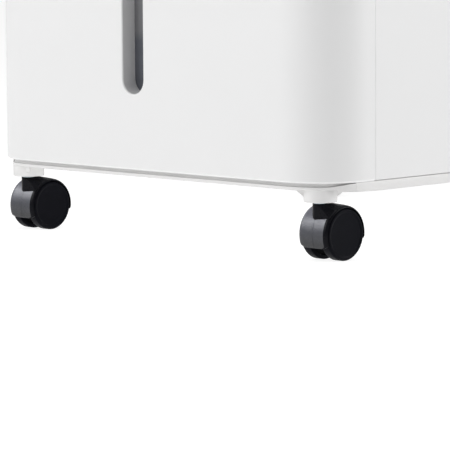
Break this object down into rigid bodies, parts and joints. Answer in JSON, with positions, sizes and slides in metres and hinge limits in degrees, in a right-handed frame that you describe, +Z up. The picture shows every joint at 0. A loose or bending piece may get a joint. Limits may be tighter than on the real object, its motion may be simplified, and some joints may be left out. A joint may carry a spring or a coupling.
{
  "type": "dehumidifier",
  "caption": "Floor-standing compressor dehumidifier with a pull-out front water tank, level slot, top outlet flap and swivel casters.",
  "frame": {"origin": "middle of the footprint's box, on the floor under the casters", "axes": "+Z up, -Y is the front with the level slot, +X is on the right as seen by a viewer who faces the front"},
  "size_m": [0.385, 0.41, 0.615],
  "materials": {
    "white_shell": "satin white ABS with a fine moulded skin",
    "white_base": "matt white moulded ABS",
    "inner_plastic": "plain light grey PP",
    "gloss_black": "gloss black",
    "display_glass": "tinted clear window",
    "button_grey": "satin light grey",
    "dark_plastic": "matt dark grey",
    "filter_mesh": "fine nylon net on a frame",
    "black_rubber": "matt rubber",
    "grey_rubber": "matt grey hose rubber",
    "zinc": "bluish zinc plate",
    "coil_fins": "bare fins",
    "black_paint": "semi-gloss black paint",
    "copper": "drawn copper pipe",
    "fan_plastic": "natural moulded plastic",
    "motor_steel": "galvanised motor can",
    "board": "solder-masked circuit board",
    "capacitor_can": "drawn aluminium can",
    "smoky_window": "smoky level window",
    "tank_plastic": "translucent grey tank plastic",
    "float_foam": "foam float",
    "nylon_black": "grained black nylon"
  },
  "bodies": {
    "cabinet": {"base_pan": "white_base", "rear_housing": "white_shell", "front_panel": "white_shell", "top_cover": "white_shell", "mid_frame": "inner_plastic", "control_panel": "gloss_black", "display_window": "display_glass", "outlet_grille": "dark_plastic", "handle_cups": "white_base", "drain_port": "inner_plastic", "drain_hose": "grey_rubber", "cord_gland": "dark_plastic", "screws": "zinc", "drip_tray": "inner_plastic", "evaporator": "coil_fins", "condenser": "coil_fins", "compressor": "black_paint", "compressor_mounts": "black_rubber", "refrigerant_lines": "copper", "fan_scroll": "inner_plastic", "fan_motor": "motor_steel", "control_board": "board", "run_capacitor": "capacitor_can", "tank_sensor": "dark_plastic"},
    "tank": {"tank_front": "white_shell", "level_window": "smoky_window", "tank_body": "tank_plastic", "tank_lid": "white_base"},
    "tank_handle": {"tank_handle": "inner_plastic"},
    "tank_float": {"tank_float": "float_foam"},
    "louver": {"louver": "white_shell"},
    "fan_wheel": {"fan_wheel": "fan_plastic"},
    "air_filter": {"rear_grille": "white_shell", "filter_mesh": "filter_mesh"},
    "drain_plug": {"drain_plug": "black_rubber"},
    "button_power": {"button_power": "button_grey"},
    "button_fan": {"button_fan": "button_grey"},
    "button_humidity": {"button_humidity": "button_grey"},
    "button_timer": {"button_timer": "button_grey"},
    "caster_fl": {"caster_fl_stem": "zinc", "caster_fl_hood": "nylon_black", "caster_fl_axle": "zinc"},
    "caster_fl_wheel_l": {"caster_fl_wheel_l": "nylon_black"},
    "caster_fl_wheel_r": {"caster_fl_wheel_r": "nylon_black"},
    "caster_fr": {"caster_fr_stem": "zinc", "caster_fr_hood": "nylon_black", "caster_fr_axle": "zinc"},
    "caster_fr_wheel_l": {"caster_fr_wheel_l": "nylon_black"},
    "caster_fr_wheel_r": {"caster_fr_wheel_r": "nylon_black"},
    "caster_rl": {"caster_rl_stem": "zinc", "caster_rl_hood": "nylon_black", "caster_rl_axle": "zinc"},
    "caster_rl_wheel_l": {"caster_rl_wheel_l": "nylon_black"},
    "caster_rl_wheel_r": {"caster_rl_wheel_r": "nylon_black"},
    "caster_rr": {"caster_rr_stem": "zinc", "caster_rr_hood": "nylon_black", "caster_rr_axle": "zinc"},
    "caster_rr_wheel_l": {"caster_rr_wheel_l": "nylon_black"},
    "caster_rr_wheel_r": {"caster_rr_wheel_r": "nylon_black"}
  },
  "joints": [
    {"name": "tank_slide", "type": "slide", "parent": "cabinet", "child": "tank", "axis": [0, -1, 0], "range_m": [0, 0.2]},
    {"name": "tank_handle_hinge", "type": "hinge", "parent": "tank", "child": "tank_handle", "pos_m": [0, -0.055, 0.247], "axis": [-1, 0, 0], "range_deg": [0, 90]},
    {"name": "tank_float_hinge", "type": "hinge", "parent": "tank", "child": "tank_float", "pos_m": [-0.1, -0.065, 0.229], "axis": [-1, 0, 0], "range_deg": [0, 6]},
    {"name": "louver_hinge", "type": "hinge", "parent": "cabinet", "child": "louver", "pos_m": [0, 0.118, 0.606], "axis": [-1, 0, 0], "range_deg": [0, 75]},
    {"name": "fan_spin", "type": "hinge", "parent": "cabinet", "child": "fan_wheel", "pos_m": [0, 0.065, 0.41], "axis": [0, 1, 0], "continuous": true},
    {"name": "air_filter_slide", "type": "slide", "parent": "cabinet", "child": "air_filter", "axis": [0, 1, 0], "range_m": [0, 0.06]},
    {"name": "drain_plug_pull", "type": "slide", "parent": "cabinet", "child": "drain_plug", "axis": [0, 1, 0], "range_m": [0, 0.03]},
    {"name": "button_power_press", "type": "slide", "parent": "cabinet", "child": "button_power", "axis": [0, 0, -1], "range_m": [0, 0.0012], "stiffness_N_per_m": 300},
    {"name": "button_fan_press", "type": "slide", "parent": "cabinet", "child": "button_fan", "axis": [0, 0, -1], "range_m": [0, 0.0012], "stiffness_N_per_m": 300},
    {"name": "button_humidity_press", "type": "slide", "parent": "cabinet", "child": "button_humidity", "axis": [0, 0, -1], "range_m": [0, 0.0012], "stiffness_N_per_m": 300},
    {"name": "button_timer_press", "type": "slide", "parent": "cabinet", "child": "button_timer", "axis": [0, 0, -1], "range_m": [0, 0.0012], "stiffness_N_per_m": 300},
    {"name": "caster_fl_swivel", "type": "hinge", "parent": "cabinet", "child": "caster_fl", "pos_m": [-0.1643, -0.1813, 0.045], "axis": [0, 0, 1], "continuous": true},
    {"name": "caster_fl_wheel_l_spin", "type": "hinge", "parent": "caster_fl", "child": "caster_fl_wheel_l", "pos_m": [-0.1643, -0.1685, 0.02], "axis": [1, 0, 0], "continuous": true},
    {"name": "caster_fl_wheel_r_spin", "type": "hinge", "parent": "caster_fl", "child": "caster_fl_wheel_r", "pos_m": [-0.1643, -0.1685, 0.02], "axis": [1, 0, 0], "continuous": true},
    {"name": "caster_fr_swivel", "type": "hinge", "parent": "cabinet", "child": "caster_fr", "pos_m": [0.1643, -0.1813, 0.045], "axis": [0, 0, 1], "continuous": true},
    {"name": "caster_fr_wheel_l_spin", "type": "hinge", "parent": "caster_fr", "child": "caster_fr_wheel_l", "pos_m": [0.1643, -0.1685, 0.02], "axis": [1, 0, 0], "continuous": true},
    {"name": "caster_fr_wheel_r_spin", "type": "hinge", "parent": "caster_fr", "child": "caster_fr_wheel_r", "pos_m": [0.1643, -0.1685, 0.02], "axis": [1, 0, 0], "continuous": true},
    {"name": "caster_rl_swivel", "type": "hinge", "parent": "cabinet", "child": "caster_rl", "pos_m": [-0.1643, 0.163, 0.045], "axis": [0, 0, 1], "continuous": true},
    {"name": "caster_rl_wheel_l_spin", "type": "hinge", "parent": "caster_rl", "child": "caster_rl_wheel_l", "pos_m": [-0.1643, 0.1758, 0.02], "axis": [1, 0, 0], "continuous": true},
    {"name": "caster_rl_wheel_r_spin", "type": "hinge", "parent": "caster_rl", "child": "caster_rl_wheel_r", "pos_m": [-0.1643, 0.1758, 0.02], "axis": [1, 0, 0], "continuous": true},
    {"name": "caster_rr_swivel", "type": "hinge", "parent": "cabinet", "child": "caster_rr", "pos_m": [0.1643, 0.163, 0.045], "axis": [0, 0, 1], "continuous": true},
    {"name": "caster_rr_wheel_l_spin", "type": "hinge", "parent": "caster_rr", "child": "caster_rr_wheel_l", "pos_m": [0.1643, 0.1758, 0.02], "axis": [1, 0, 0], "continuous": true},
    {"name": "caster_rr_wheel_r_spin", "type": "hinge", "parent": "caster_rr", "child": "caster_rr_wheel_r", "pos_m": [0.1643, 0.1758, 0.02], "axis": [1, 0, 0], "continuous": true}
  ]
}
